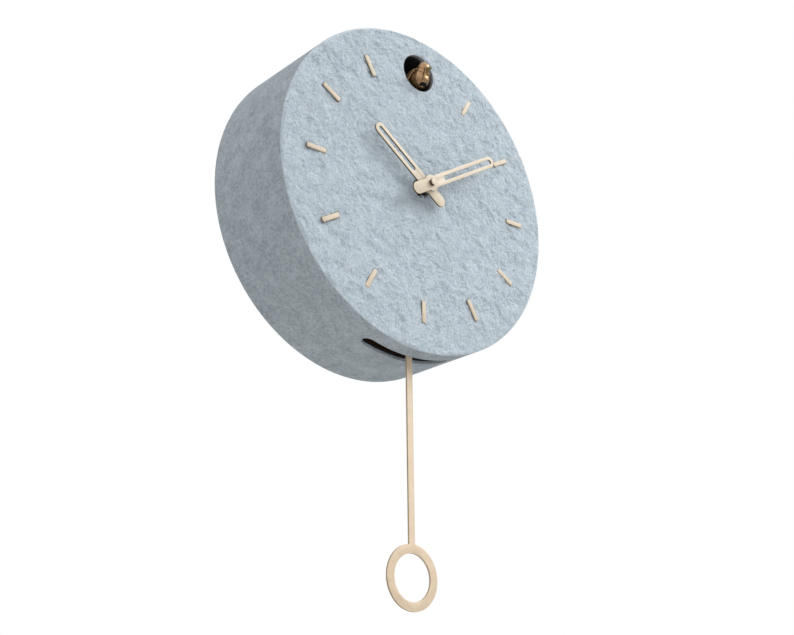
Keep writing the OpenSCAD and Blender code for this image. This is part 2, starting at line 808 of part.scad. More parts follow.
module light_sensor() {
  color([0.75, 0.35, 0.3]) disc(2.5, board_y + board_t, board_y + board_t + 3, [board_x - 17, board_z]);
}

module battery_tray() {
  x0 = tray_x - tray_w / 2;
  rear = tray_y + tray_depth;
  color([0.16, 0.17, 0.18]) difference() {
    block([x0, tray_y, -tray_h / 2], [x0 + tray_w, rear + 3, tray_h / 2]);
    block([x0 + tray_t, tray_y + tray_t, -tray_h / 2 + tray_t],
          [x0 + tray_w - tray_t, rear + 4, tray_h / 2 - tray_t]);
    block([x0 + tray_t - 1.2, rear, -tray_h / 2 + tray_t],
          [x0 + tray_w - tray_t + 1.2, rear + cover_plate_t + 0.4, tray_h / 2 + 1]);
    block([x0 + tray_t, rear, tray_h / 2 - tray_t - 1], [x0 + tray_w - tray_t, rear + 4, tray_h / 2 + 1]);
  }
}

module cell(x) {
  y = tray_y + tray_t + cell_gap + cell_r;
  color([0.25, 0.3, 0.35]) translate([x, y, -cell_l / 2]) {
    cylinder(r = cell_r, h = cell_l - 2);
    cylinder(r = 3.5, h = cell_l);
  }
}
module cell_left() cell(tray_x - cell_r - cell_gap / 2);
module cell_right() cell(tray_x + cell_r + cell_gap / 2);

module battery_contacts() {
  y = tray_y + tray_t + cell_gap + cell_r;
  color([0.8, 0.78, 0.7]) {
    block([tray_x - 20, y - 5, cell_l / 2 + 0.02], [tray_x + 20, y + 5, cell_l / 2 + 0.6]);
    for (x = [-1, 1]) translate([tray_x + x * (cell_r + cell_gap / 2), y, -cell_l / 2 - 3.98]) {
      cylinder(r = 5, h = 0.6);
      difference() {
        cylinder(r1 = 5, r2 = 3, h = 3.96);
        translate([0, 0, 0.6]) cylinder(r1 = 4.2, r2 = 2.2, h = 3.4);
      }
    }
  }
}

module battery_cover() {
  x0 = tray_x - tray_w / 2 + tray_t - 1.2 + 0.2;
  y0 = tray_y + tray_depth + 0.2;
  w = tray_w - 2 * tray_t + 2.4 - 0.4;
  h = tray_h - 2 * tray_t - 0.6;
  color([0.2, 0.21, 0.22]) union() {
    block([x0, y0, -h / 2], [x0 + w, y0 + cover_plate_t, tray_h / 2]);
    for (z = [12:3:24]) block([tray_x - 8, y0 + cover_plate_t - EPS, z],
                              [tray_x + 8, y0 + cover_plate_t + 0.8, z + 1.2]);
  }
}

// ---------- nodes ----------

dial_panel();
case_band();
window_liner();
rear_panel();
case_blocks();
rear_screws();
hanger_plate();
hanger_rivets();
wall_bumpers();
for (h = HOURS) hour_bar(h);
minute_hand();
hour_hand();
centre_cap();
fixing_nut();
dial_washer();
rubber_washer();
movement_shell();
movement_cover();
hour_wheel();
centre_wheel();
motion_wheel();
third_arbor();
motor_can();
coil();
circuit_board();
setting_knob();
drive_housing();
drive_coil();
pivot_pin();
hanger_arm();
arm_magnet();
pendulum();
bird_frame();
bird_carriage();
drive_pinion();
bird_motor();
bird_body();
bird_wing_left();
bird_wing_right();
bird_beak();
speaker();
sound_board();
volume_slider();
night_slider();
light_sensor();
battery_tray();
cell_left();
cell_right();
battery_contacts();
battery_cover();
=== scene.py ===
import math
import bpy
from mathutils import Matrix, Vector, noise


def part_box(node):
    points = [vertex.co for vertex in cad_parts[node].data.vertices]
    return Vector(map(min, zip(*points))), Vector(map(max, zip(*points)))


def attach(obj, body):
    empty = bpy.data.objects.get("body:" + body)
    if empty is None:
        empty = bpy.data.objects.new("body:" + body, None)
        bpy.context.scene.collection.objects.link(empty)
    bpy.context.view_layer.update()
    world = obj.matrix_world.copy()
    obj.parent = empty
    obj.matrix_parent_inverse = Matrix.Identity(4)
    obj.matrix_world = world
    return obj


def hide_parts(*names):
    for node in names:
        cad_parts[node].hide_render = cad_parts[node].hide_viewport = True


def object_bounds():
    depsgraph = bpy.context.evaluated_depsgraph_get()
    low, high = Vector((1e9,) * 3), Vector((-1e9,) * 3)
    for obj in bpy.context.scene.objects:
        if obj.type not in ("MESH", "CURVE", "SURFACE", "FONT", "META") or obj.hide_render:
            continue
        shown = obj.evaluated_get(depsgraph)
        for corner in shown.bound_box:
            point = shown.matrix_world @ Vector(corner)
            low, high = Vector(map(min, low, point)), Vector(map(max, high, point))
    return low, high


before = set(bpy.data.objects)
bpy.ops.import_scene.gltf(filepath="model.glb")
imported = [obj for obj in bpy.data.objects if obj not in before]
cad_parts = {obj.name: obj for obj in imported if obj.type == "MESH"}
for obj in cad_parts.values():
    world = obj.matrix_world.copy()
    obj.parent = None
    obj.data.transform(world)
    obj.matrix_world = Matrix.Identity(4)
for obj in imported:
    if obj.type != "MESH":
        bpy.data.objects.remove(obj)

cad_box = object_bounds()
MM = 0.001
bpy.ops.object.select_all(action="DESELECT")


# ---- Case band ----
# The drum's side wall: an outer hoop skimmed with the blue-grey plaster of the dial, rubbed down smoother
# and coloured darker than the dial as painted shade, and a black lining inside it that is painted shade for
# the dark inside of the drum. The pendulum hangs through one long slot in both.

def colour(code):
    """An sRGB hex value as linear red, green, blue and alpha."""
    parts = [int(code[i:i + 2], 16) / 255 for i in (1, 3, 5)]
    return [p / 12.92 if p <= 0.04045 else ((p + 0.055) / 1.055) ** 2.4 for p in parts] + [1.0]


def add(tree, kind, inputs=None, stops=None, **settings):
    """Adds a shader node with its settings, its socket values and its links."""
    made = tree.nodes.new(kind)
    for name, value in settings.items():
        setattr(made, name, value)
    for socket, value in (inputs or {}).items():
        if isinstance(value, bpy.types.NodeSocket):
            tree.links.new(value, made.inputs[socket])
        else:
            made.inputs[socket].default_value = value
    for i, (place, tint) in enumerate(stops or []):
        ramp = made.color_ramp.elements
        stop = ramp[i] if i < 2 else ramp.new(place)
        stop.position, stop.color = place, tint
    return made


def finish(name, **sockets):
    """A new material: its node tree, its Principled shader and the object coordinates."""
    made = bpy.data.materials.new(name)
    made.use_nodes = True
    shader = made.node_tree.nodes["Principled BSDF"]
    for socket, value in sockets.items():
        shader.inputs[socket.replace("_", " ")].default_value = value
    place = add(made.node_tree, "ShaderNodeTexCoord").outputs["Object"]
    return made, made.node_tree, shader, place


def plaster(name, light, dark, blotch_mm, grain_mm, grain_depth_mm):
    """Trowelled mineral plaster: dead matt, a cloudy tone and a sandy grain."""
    made, tree, shader, place = finish(name, Roughness=0.92)
    shader.inputs["Specular IOR Level"].default_value = 0.3
    blotch = add(tree, "ShaderNodeTexNoise",
                 {"Vector": place, "Scale": 1 / (blotch_mm * MM), "Detail": 6, "Roughness": 0.62})
    speck = add(tree, "ShaderNodeTexNoise",
                {"Vector": place, "Scale": 1 / (grain_mm * 1.6 * MM), "Detail": 3, "Roughness": 0.7})
    tone = add(tree, "ShaderNodeMix", {0: 0.6, 2: blotch.outputs[0], 3: speck.outputs[0]},
               data_type="FLOAT")
    tint = add(tree, "ShaderNodeValToRGB", {0: tone.outputs[0]},
               [(0.38, colour(dark)), (0.62, colour(light))])
    tree.links.new(tint.outputs[0], shader.inputs["Base Color"])
    grain = add(tree, "ShaderNodeTexNoise",
                {"Vector": place, "Scale": 1 / (grain_mm * MM), "Detail": 4, "Roughness": 0.6})
    bump = add(tree, "ShaderNodeBump",
               {"Height": grain.outputs[0], "Distance": grain_depth_mm * MM, "Strength": 1.0})
    tree.links.new(bump.outputs[0], shader.inputs["Normal"])
    return made


def fibres(name, light, dark, size_mm, stretch, rough, depth_mm):
    """Wood or pressed fibre: streaks that run along the stretched axis."""
    made, tree, shader, place = finish(name, Roughness=rough)
    along = add(tree, "ShaderNodeMapping", {"Vector": place, "Scale": stretch}).outputs[0]
    streak = add(tree, "ShaderNodeTexNoise",
                 {"Vector": along, "Scale": 1 / (size_mm * MM), "Detail": 5, "Roughness": 0.65}).outputs[0]
    tint = add(tree, "ShaderNodeValToRGB", {0: streak}, [(0.3, colour(dark)), (0.7, colour(light))])
    tree.links.new(tint.outputs[0], shader.inputs["Base Color"])
    bump = add(tree, "ShaderNodeBump", {"Height": streak, "Distance": depth_mm * MM, "Strength": 0.8})
    tree.links.new(bump.outputs[0], shader.inputs["Normal"])
    return made


def apply_modifier(piece, kind, **settings):
    """Adds one modifier with its settings and applies it."""
    bpy.context.view_layer.objects.active = piece
    modifier = piece.modifiers.new(kind, kind)
    for name, value in settings.items():
        setattr(modifier, name, value)
    bpy.ops.object.modifier_apply(modifier=modifier.name)


def select_only(piece):
    bpy.ops.object.select_all(action="DESELECT")
    piece.select_set(True)
    bpy.context.view_layer.objects.active = piece


def settle(piece, name, smooth_deg=35):
    """Names a piece, puts its place into its mesh and smooths its curved faces."""
    piece.name = piece.data.name = name
    select_only(piece)
    bpy.ops.object.transform_apply(location=True, rotation=True, scale=True)
    bpy.ops.object.shade_smooth_by_angle(angle=math.radians(smooth_deg))
    return piece


def round_bar(radius, front, rear, at=(0, 0), sides=96, ends="NGON"):
    """A cylinder between two depths, its axis along Y."""
    bpy.ops.mesh.primitive_cylinder_add(
        vertices=sides, radius=radius, depth=rear - front, end_fill_type=ends,
        location=(at[0], (front + rear) / 2, at[1]), rotation=(math.pi / 2, 0, 0))
    bpy.ops.object.transform_apply(location=True, rotation=True, scale=True)
    return bpy.context.object


def carve(piece, tool, operation="DIFFERENCE"):
    """Cuts a piece with a tool shape, which is then thrown away."""
    apply_modifier(piece, "BOOLEAN", operation=operation, object=tool, solver="EXACT")
    bpy.data.objects.remove(tool)


band_low, band_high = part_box("case_band")
case_radius = band_high.x
outer_wall, inner_wall = 2.2 * MM, 1.8 * MM
slot_length, slot_width, slot_depth = 77.2 * MM, 10.6 * MM, -60.8 * MM
rings_along_depth, slot_end_steps, slot_edge = 23, 14, 0.35 * MM

# The band's plaster is coloured darker than the dial's plaster: painted shade on the drum's side, away from
# the lamp; the dial's rim uses it too.
shaded_band_plaster = plaster("mineral_plaster_rubbed_painted_shade", "#AEB7BE", "#8A939B", 11, 1.4, 0.9)
# Black flock paper lines the window's tube; the same black on the drum's lining and in the bird's grooves
# is painted shade for the dark inside of the case and the grooves.
black_flock_and_painted_shade = finish("black_flock_paper_and_painted_shade", Base_Color=colour("#0B0C0E"), Roughness=0.95)[0]

for name, radius, wall, skin in (("plastered_band", case_radius, outer_wall, shaded_band_plaster),
                                 ("band_lining", case_radius - outer_wall, inner_wall, black_flock_and_painted_shade)):
    band = round_bar(radius, band_low.y, band_high.y, sides=360, ends="NOTHING")
    bpy.ops.object.mode_set(mode="EDIT")
    bpy.ops.mesh.select_all(action="DESELECT")
    bpy.ops.mesh.select_mode(type="EDGE")
    bpy.ops.object.mode_set(mode="OBJECT")
    for edge in band.data.edges:
        ends = [band.data.vertices[i].co for i in edge.vertices]
        edge.select = abs(ends[0].y - ends[1].y) > wall
    bpy.ops.object.mode_set(mode="EDIT")
    bpy.ops.mesh.subdivide(number_cuts=rings_along_depth)
    bpy.ops.object.mode_set(mode="OBJECT")
    apply_modifier(band, "SOLIDIFY", thickness=wall, offset=-1, use_even_offset=True)
    bpy.ops.mesh.primitive_cube_add(size=1, location=(0, slot_depth, -case_radius),
                                    scale=(slot_length, slot_width, 0.05))
    slot_tool = bpy.context.object
    bpy.ops.object.transform_apply(location=True, rotation=True, scale=True)
    for edge in slot_tool.data.edges:
        ends = [slot_tool.data.vertices[i].co for i in edge.vertices]
        edge.select = abs(ends[0].z - ends[1].z) > 0.01
    bpy.ops.object.mode_set(mode="EDIT")
    bpy.ops.mesh.bevel(offset=slot_width * 0.499, segments=slot_end_steps)
    bpy.ops.object.mode_set(mode="OBJECT")
    carve(band, slot_tool)
    apply_modifier(band, "BEVEL", width=slot_edge, segments=3, limit_method="ANGLE",
                   angle_limit=math.radians(50))
    band.data.materials.append(skin)
    settle(band, name)
    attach(band, "case")
    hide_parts("case_band")


# ---- Dial panel ----
# The front disc: 5 mm fibreboard under a coat of blue-grey plaster, trowelled on in thin broken flakes,
# so the face is covered with low plateaus whose ragged edges catch the light.

dial_low, dial_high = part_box("dial_panel")
window_low, window_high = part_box("window_liner")
window_z = (window_low.z + window_high.z) / 2
liner_wall, shaft_hole = 1.5 * MM, 4.2 * MM
window_radius = (window_high.x - window_low.x) / 2 - liner_wall
grid_step = 0.72 * MM
grid_size = 2.016 * case_radius
dial_bevel, fade = 0.6 * MM, 1.2 * MM

dial_plaster = plaster("mineral_plaster_flaked", "#D1DCE4", "#B4C2CD", 9, 1.3, 1.6)
# Raw back of the board: pressed wood fibre, dull brown
raw_board = fibres("raw_board_back", "#8E6F50", "#6B5039", 1.5, (1, 1, 1), 0.9, 0.08)
# The window's wall: thin plaster on the front of the board edge, black further in; the plaster is coloured
# a darker grey than the face and fades to black with depth, as painted shade in the window's recess
window_wall_shade, tree, shader, place = finish("window_wall_painted_shade", Roughness=0.8)
inward = add(tree, "ShaderNodeSeparateXYZ", {0: place}).outputs[1]
where = add(tree, "ShaderNodeMapRange", {0: inward, 1: dial_low.y, 2: dial_high.y}).outputs[0]
tint = add(tree, "ShaderNodeValToRGB", {0: where}, [(0.35, colour("#8C8A92")), (0.75, colour("#1C1C20"))])
tree.links.new(tint.outputs[0], shader.inputs["Base Color"])

cells = int(grid_size / grid_step)
bpy.ops.mesh.primitive_grid_add(x_subdivisions=cells, y_subdivisions=cells, size=grid_size,
                                location=(0, dial_low.y, 0), rotation=(math.pi / 2, 0, 0))
dial = bpy.context.object
bpy.ops.object.transform_apply(location=True, rotation=True, scale=True)
bpy.ops.object.mode_set(mode="EDIT")
bpy.ops.mesh.select_all(action="SELECT")
bpy.ops.mesh.region_to_loop()
bpy.ops.mesh.extrude_edges_move(TRANSFORM_OT_translate={"value": (0, dial_high.y - dial_low.y, 0)})
bpy.ops.mesh.edge_face_add()
bpy.ops.mesh.select_all(action="SELECT")
bpy.ops.mesh.normals_make_consistent(inside=False)
bpy.ops.object.mode_set(mode="OBJECT")

# The outline tool: a disc with a chamfered front edge, the bird's window and the hole for the shaft.
# It stands 1 mm proud of the dial face, so the chamfer crosses the face where the edge begins.
proud = 1 * MM
outline = round_bar(case_radius, dial_low.y - proud, dial_high.y + 0.01, sides=288)
bpy.ops.object.mode_set(mode="EDIT")
bpy.ops.mesh.select_all(action="DESELECT")
bpy.ops.object.mode_set(mode="OBJECT")
for edge in outline.data.edges:
    edge.select = all(outline.data.vertices[i].co.y < dial_low.y for i in edge.vertices)
bpy.ops.object.mode_set(mode="EDIT")
bpy.ops.mesh.bevel(offset=dial_bevel + proud, segments=1)
bpy.ops.object.mode_set(mode="OBJECT")
carve(outline, round_bar(window_radius, dial_low.y - 0.01, dial_high.y + 0.02, (0, window_z)))
carve(outline, round_bar(shaft_hole, dial_low.y - 0.01, dial_high.y + 0.02, sides=48))
carve(dial, outline, "INTERSECT")


def step(value, edge, width):
    """0 below the edge, 1 above it, with a short smooth flank."""
    t = min(1.0, max(0.0, (value - edge) / width + 0.5))
    return t * t * (3 - 2 * t)


def plaster_height(x, z):
    """Height of the trowelled coat in mm: ragged flakes in two sizes, with sand between them."""
    at = Vector((x / MM, z / MM, 0.0))
    drag = Vector((noise.noise(at / 5), noise.noise(at / 5 + Vector((31, 7, 3))), 0)) * 3
    coat = noise.fractal((at + drag) / 24 + Vector((5, 9, 2)), 0.75, 2.1, 7)
    skin = noise.fractal((at + drag * 0.5) / 10 + Vector((17, 3, 8)), 0.6, 2.2, 6)
    sand = noise.fractal(at / 1.9, 0.7, 2.0, 3)
    flakes = step(coat, -0.25, 0.03) + step(coat, 0.05, 0.03) + step(coat, 0.30, 0.03)
    chips = step(skin, 0.10, 0.04) - step(-skin, 0.25, 0.04)
    rough = 1 - 0.6 * step(coat, 0.05, 0.3)
    return flake_mm * flakes + chip_mm * chips + sand_mm * rough * sand


# Relief: each point of the face moves out or in by the height of the plaster there, less at the edges
flake_mm, chip_mm, sand_mm, mean_mm = 0.42, 0.34, 0.26, 0.30
for vertex in dial.data.vertices:
    x, y, z = vertex.co
    if y < dial_low.y + 1e-6:
        to_rim = case_radius - dial_bevel - math.hypot(x, z)
        to_window = math.hypot(x, z - window_z) - window_radius
        share = min(1, max(0, min(to_rim / fade, to_window / fade)))
        vertex.co.y -= share * (plaster_height(x, z) - mean_mm) * MM
for skin in (dial_plaster, window_wall_shade, shaded_band_plaster, raw_board):
    dial.data.materials.append(skin)
for face in dial.data.polygons:
    x, y, z = face.center
    on_wall = math.hypot(x, z - window_z) < window_radius + 0.1 * MM and abs(face.normal.y) < 0.5
    on_side = math.hypot(x, z) > case_radius - 0.2 * MM
    face.material_index = 1 if on_wall else 2 if on_side else 3 if face.normal.y > 0.5 else 0
settle(dial, "flaked_dial", 50)
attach(dial, "case")
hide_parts("dial_panel")


# ---- Window lining and rear of the case ----
# A black flocked tube behind the bird's window; behind, a raw fibreboard ring screwed to softwood
# blocks, with a plated keyhole hanger riveted on and four rubber bumpers against the wall.

def cover(material, *names):
    """Gives CAD pieces their real finish."""
    for name in names:
        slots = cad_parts[name].data.materials
        for i in range(max(1, len(slots))):
            if len(slots) > i:
                slots[i] = material
            else:
                slots.append(material)


def moulded(name, tint, rough, grain_mm=0.5, depth_mm=0.03):
    """Moulded plastic or rubber: one dense colour with the fine spark-eroded grain of the tool."""
    made, tree, shader, place = finish(name, Base_Color=colour(tint))
    grain = add(tree, "ShaderNodeTexNoise",
                {"Vector": place, "Scale": 1 / (grain_mm * MM), "Detail": 2}).outputs[0]
    worn = add(tree, "ShaderNodeTexNoise",
               {"Vector": place, "Scale": 1 / (12 * MM), "Detail": 4}).outputs[0]
    sheen = add(tree, "ShaderNodeMapRange", {0: worn, 1: 0.3, 2: 0.7, 3: rough - 0.08, 4: rough + 0.08})
    tree.links.new(sheen.outputs[0], shader.inputs["Roughness"])
    bump = add(tree, "ShaderNodeBump", {"Height": grain, "Distance": depth_mm * MM, "Strength": 0.6})
    tree.links.new(bump.outputs[0], shader.inputs["Normal"])
    return made


def metal(name, light, dark, rough, stretch=(1, 1, 1), grain_mm=0.8):
    """Bare or plated metal: a full metallic colour, with rubbing marks that vary its gloss."""
    made, tree, shader, place = finish(name, Metallic=1.0)
    along = add(tree, "ShaderNodeMapping", {"Vector": place, "Scale": stretch}).outputs[0]
    marks = add(tree, "ShaderNodeTexNoise",
                {"Vector": along, "Scale": 1 / (grain_mm * MM), "Detail": 4, "Roughness": 0.6}).outputs[0]
    tint = add(tree, "ShaderNodeValToRGB", {0: marks}, [(0.3, colour(dark)), (0.7, colour(light))])
    tree.links.new(tint.outputs[0], shader.inputs["Base Color"])
    gloss = add(tree, "ShaderNodeMapRange", {0: marks, 1: 0.3, 2: 0.7, 3: rough + 0.1, 4: rough - 0.06})
    tree.links.new(gloss.outputs[0], shader.inputs["Roughness"])
    return made


# Pressed fibreboard: mid brown, fuzzy and matt, with short fibres about 1.5 mm long
fibreboard = fibres("pressed_fibreboard", "#A98560", "#7F5F42", 1.5, (1, 1, 1), 0.88, 0.08)
# Sawn softwood: pale yellow, streaked along the depth of the case
softwood = fibres("sawn_spruce", "#E0C592", "#B8935C", 1.2, (1, 0.08, 1), 0.7, 0.10)
# Zinc-plated steel: cool grey, half dull
zinc = metal("zinc_plated_steel", "#C9CDD1", "#A7ACB1", 0.34)
# Moulded rubber: near black and matt
rubber = moulded("moulded_rubber", "#1D1D1E", 0.8, 0.7, 0.06)

cover(black_flock_and_painted_shade, "window_liner")
cover(fibreboard, "rear_panel")
cover(softwood, "case_blocks")
cover(zinc, "rear_screws", "hanger_plate", "hanger_rivets")
cover(rubber, "wall_bumpers", "rubber_washer")


# ---- Clock movement ----
# A quartz pendulum movement: a black ABS box with white acetal wheels and setting knob inside,
# a brass centre wheel and nut, and a separate black housing that swings the pendulum.

# ABS: black, satin, with a fine tool grain
black_abs = moulded("black_abs", "#18191B", 0.48)
# Acetal: slightly translucent white, satin
white_acetal = moulded("white_acetal", "#E6E4DC", 0.38, 0.8, 0.015)
# Turned brass: warm yellow with fine turning marks
brass = metal("turned_brass", "#DDB765", "#B58E42", 0.28)
# Drawn steel cans: bright, brushed along their length
steel = metal("drawn_steel", "#BFC1C4", "#9A9DA1", 0.32, (1, 0.1, 1))

cover(black_abs, "movement_shell", "movement_cover", "drive_housing", "bird_frame")
cover(white_acetal, "hour_wheel", "motion_wheel", "setting_knob", "hanger_arm",
      "bird_carriage", "drive_pinion", "volume_slider", "night_slider")
# Brass coloured dull and nearly black: painted shade for the shadow round the hub under the hands
hub_shade_brass = metal("brass_painted_hub_shade", "#3A352E", "#26231F", 0.42)
cover(brass, "centre_wheel")
cover(hub_shade_brass, "fixing_nut", "dial_washer")
cover(steel, "motor_can", "bird_motor", "third_arbor", "pivot_pin", "arm_magnet")

# Enamelled copper wire: thin layers of 0.3 mm wire wound side by side
copper_wire, tree, shader, place = finish("enamelled_copper_wire", Metallic=1.0, Roughness=0.3)
turns = add(tree, "ShaderNodeTexWave", {"Vector": place, "Scale": 1 / (1.9 * MM), "Distortion": 0.4},
            bands_direction="Z").outputs[1]
tint = add(tree, "ShaderNodeValToRGB", {0: turns}, [(0.1, colour("#6E2E12")), (0.6, colour("#C8733A"))])
tree.links.new(tint.outputs[0], shader.inputs["Base Color"])
bump = add(tree, "ShaderNodeBump", {"Height": turns, "Distance": 0.12 * MM, "Strength": 0.8})
tree.links.new(bump.outputs[0], shader.inputs["Normal"])
cover(copper_wire, "coil", "drive_coil")


# ---- Sound board, speaker and cells ----
# A small green board with two slide switches and a light sensor plays the call through a paper cone
# speaker; two large cells lie side by side in a black tray with a sliding cover.

# Solder mask over copper: glossy green with slightly lighter raised tracks 1.2 mm wide
solder_mask, tree, shader, place = finish("green_solder_mask", Roughness=0.3)
upright = add(tree, "ShaderNodeMapping", {"Vector": place, "Rotation": (math.pi / 2, 0, 0)}).outputs[0]
tracks = add(tree, "ShaderNodeTexBrick",
             {"Vector": upright,
              "Color1": colour("#14532D"), "Color2": colour("#1A6538"), "Mortar": colour("#2B8350"),
              "Scale": 1 / (20 * MM), "Mortar Size": 0.03, "Mortar Smooth": 0.2}).outputs[0]
tree.links.new(tracks, shader.inputs["Base Color"])
# Doped paper: soft black with radial fibres
cone_paper = fibres("doped_cone_paper", "#3A3B3D", "#202123", 0.9, (1, 1, 1), 0.8, 0.08)
# Tinted clear lens over the sensor
lens = finish("tinted_sensor_lens", Base_Color=colour("#7A3028"), Roughness=0.12, Coat_Weight=0.6)[0]
# Nickel-plated spring contacts
nickel = metal("nickel_contacts", "#D8D3C4", "#B3AD9C", 0.25)
# Printed shrink sleeve: dark slate with a copper-coloured band at the positive end
sleeve, tree, shader, place = finish("cell_sleeve", Metallic=0.35, Roughness=0.32, Coat_Weight=0.5)
height = add(tree, "ShaderNodeSeparateXYZ", {0: place}).outputs[2]
where = add(tree, "ShaderNodeMapRange", {0: height, 1: -25 * MM, 2: 25 * MM}).outputs[0]
tint = add(tree, "ShaderNodeValToRGB", {0: where},
           [(0.03, colour("#B9BBBE")), (0.04, colour("#2A333C")), (0.72, colour("#2A333C")),
            (0.73, colour("#A8714A")), (0.95, colour("#A8714A")), (0.96, colour("#C9CACC"))])
tree.links.new(tint.outputs[0], shader.inputs["Base Color"])

cover(solder_mask, "sound_board", "circuit_board")
cover(cone_paper, "speaker")
cover(lens, "light_sensor")
cover(nickel, "battery_contacts")
cover(sleeve, "cell_left", "cell_right")
cover(black_abs, "battery_tray", "battery_cover")


# ---- Hour bars ----
# Eleven short bars, laser-cut from 1.5 mm board: the front is sprayed warm beige, the cut edges are
# left scorched nearly black. They are glued flat on the plaster.

def paint(name, light, dark):
    """Sprayed satin paint over board: a soft warm beige with a faint orange-peel texture."""
    made, tree, shader, place = finish(name, Roughness=0.5)
    patch = add(tree, "ShaderNodeTexNoise",
                {"Vector": place, "Scale": 1 / (6 * MM), "Detail": 5, "Roughness": 0.6}).outputs[0]
    tint = add(tree, "ShaderNodeValToRGB", {0: patch}, [(0.3, colour(dark)), (0.7, colour(light))])
    tree.links.new(tint.outputs[0], shader.inputs["Base Color"])
    peel = add(tree, "ShaderNodeTexNoise",
               {"Vector": place, "Scale": 1 / (0.9 * MM), "Detail": 2}).outputs[0]
    bump = add(tree, "ShaderNodeBump", {"Height": peel, "Distance": 0.02 * MM, "Strength": 0.5})
    tree.links.new(bump.outputs[0], shader.inputs["Normal"])
    return made


bar_paint = paint("sprayed_beige_bars", "#D6C7B1", "#CABAA3")
# Laser-cut edge: scorched brown-black, streaked through the thickness
scorched = fibres("scorched_cut_edge", "#4A4038", "#2C2824", 0.6, (1, 0.2, 1), 0.75, 0.03)


def paint_front(piece, front, side):
    """The painted finish on the faces that look forwards, the cut edge on all others."""
    piece.data.materials.clear()
    piece.data.materials.append(front)
    piece.data.materials.append(side)
    for face in piece.data.polygons:
        face.material_index = 0 if face.normal.y < -0.6 else 1


bar_low, bar_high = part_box("hour_bar_6")
bar_round, bar_edge = 1.0 * MM, 0.12 * MM
bpy.ops.mesh.primitive_cube_add(size=1, location=(bar_low + bar_high) / 2, scale=bar_high - bar_low)
master = bpy.context.object
bpy.ops.object.transform_apply(location=True, rotation=True, scale=True)
bpy.ops.object.mode_set(mode="EDIT")
bpy.ops.mesh.select_mode(type="EDGE")
bpy.ops.object.mode_set(mode="OBJECT")
for edge in master.data.edges:
    first, second = [master.data.vertices[i].co for i in edge.vertices]
    edge.select = abs(first.y - second.y) > 0.5 * MM
bpy.ops.object.mode_set(mode="EDIT")
bpy.ops.mesh.bevel(offset=bar_round, segments=6)
bpy.ops.object.mode_set(mode="OBJECT")
apply_modifier(master, "BEVEL", width=bar_edge, segments=2, limit_method="ANGLE",
               angle_limit=math.radians(60))
paint_front(master, bar_paint, scorched)
for hour in range(1, 12):
    bar = master.copy()
    bar.data = master.data.copy()
    bpy.context.scene.collection.objects.link(bar)
    bar.data.transform(Matrix.Rotation(math.radians(30 * (hour - 6)), 4, "Y"))
    settle(bar, f"painted_bar_{hour}")
    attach(bar, "case")
    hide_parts(f"hour_bar_{hour}")
bpy.data.objects.remove(master)


# ---- Hands and centre cap ----
# Slotted hands stamped from 1.2 mm sheet with a round eye on the shaft. Their fronts are sprayed the
# same beige, their edges stay dark. A small turned cap closes the shaft: beige top, dark bronze side.

def worked(node, edge_mm):
    """A copy of a CAD piece, merged to clean flat faces with its sharp edges rounded."""
    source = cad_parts[node]
    piece = bpy.data.objects.new(node + "_worked", source.data.copy())
    bpy.context.scene.collection.objects.link(piece)
    select_only(piece)
    bpy.ops.object.mode_set(mode="EDIT")
    bpy.ops.mesh.select_all(action="SELECT")
    bpy.ops.mesh.remove_doubles(threshold=0.002 * MM)
    bpy.ops.mesh.customdata_custom_splitnormals_clear()
    bpy.ops.mesh.dissolve_limited(angle_limit=math.radians(0.5))
    bpy.ops.object.mode_set(mode="OBJECT")
    apply_modifier(piece, "BEVEL", width=edge_mm * MM, segments=2, limit_method="ANGLE",
                   angle_limit=math.radians(50))
    return piece


hand_paint = paint("sprayed_beige_hands", "#D9CBB5", "#CFC0A9")
hand_edge = fibres("dark_stamped_edge", "#5E5348", "#43392F", 0.6, (1, 0.2, 1), 0.55, 0.03)
for node, body in (("minute_hand", "minute_train"), ("hour_hand", "hour_train")):
    hand = worked(node, 0.12)
    paint_front(hand, hand_paint, hand_edge)
    settle(hand, "sprayed_" + node)
    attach(hand, body)
    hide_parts(node)

# Turned and lacquered: glossy dark brown side that mirrors the hand below it
cap_side = finish("dark_bronze_lacquer", Base_Color=colour("#4A2E1E"), Metallic=0.6, Roughness=0.18,
                  Coat_Weight=0.8)[0]
cap = worked("centre_cap", 0.2)
paint_front(cap, hand_paint, cap_side)
settle(cap, "turned_cap")
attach(cap, "minute_train")
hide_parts("centre_cap")


# ---- Pendulum ----
# A flat rod and ring laser-cut from one 1.4 mm sheet and sprayed beige all over; the cut sides get a
# darker beige as painted shade. It hooks on the drive arm inside the case.

pendulum_paint = paint("sprayed_beige_pendulum", "#DECAB0", "#D4BFA3")
# The cut sides: the same beige made darker, painted shade
pendulum_side_painted_shade = paint("pendulum_side_shade_paint", "#A5927A", "#8F7D66")
bob = worked("pendulum", 0.15)
paint_front(bob, pendulum_paint, pendulum_side_painted_shade)
settle(bob, "sprayed_pendulum")
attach(bob, "pendulum_arm")
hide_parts("pendulum")


# ---- Bird ----
# A small cuckoo cast hollow and sprayed polished bronze; it stands on a pusher behind the window.
# Its wings are thin plates hinged at the shoulders and its lower beak drops as it calls.

def bronze_paint(name, light, dark, rough):
    """Bronze lacquer polished by hand: metallic, clouded where it was rubbed less."""
    made, tree, shader, place = finish(name, Metallic=0.6)
    haze = add(tree, "ShaderNodeTexNoise", {"Vector": place, "Scale": 1 / (3 * MM), "Detail": 4}).outputs[0]
    tint = add(tree, "ShaderNodeValToRGB", {0: haze}, [(0.3, colour(dark)), (0.7, colour(light))])
    tree.links.new(tint.outputs[0], shader.inputs["Base Color"])
    gloss = add(tree, "ShaderNodeMapRange", {0: haze, 1: 0.3, 2: 0.7, 3: rough + 0.06, 4: rough - 0.06})
    tree.links.new(gloss.outputs[0], shader.inputs["Roughness"])
    return made


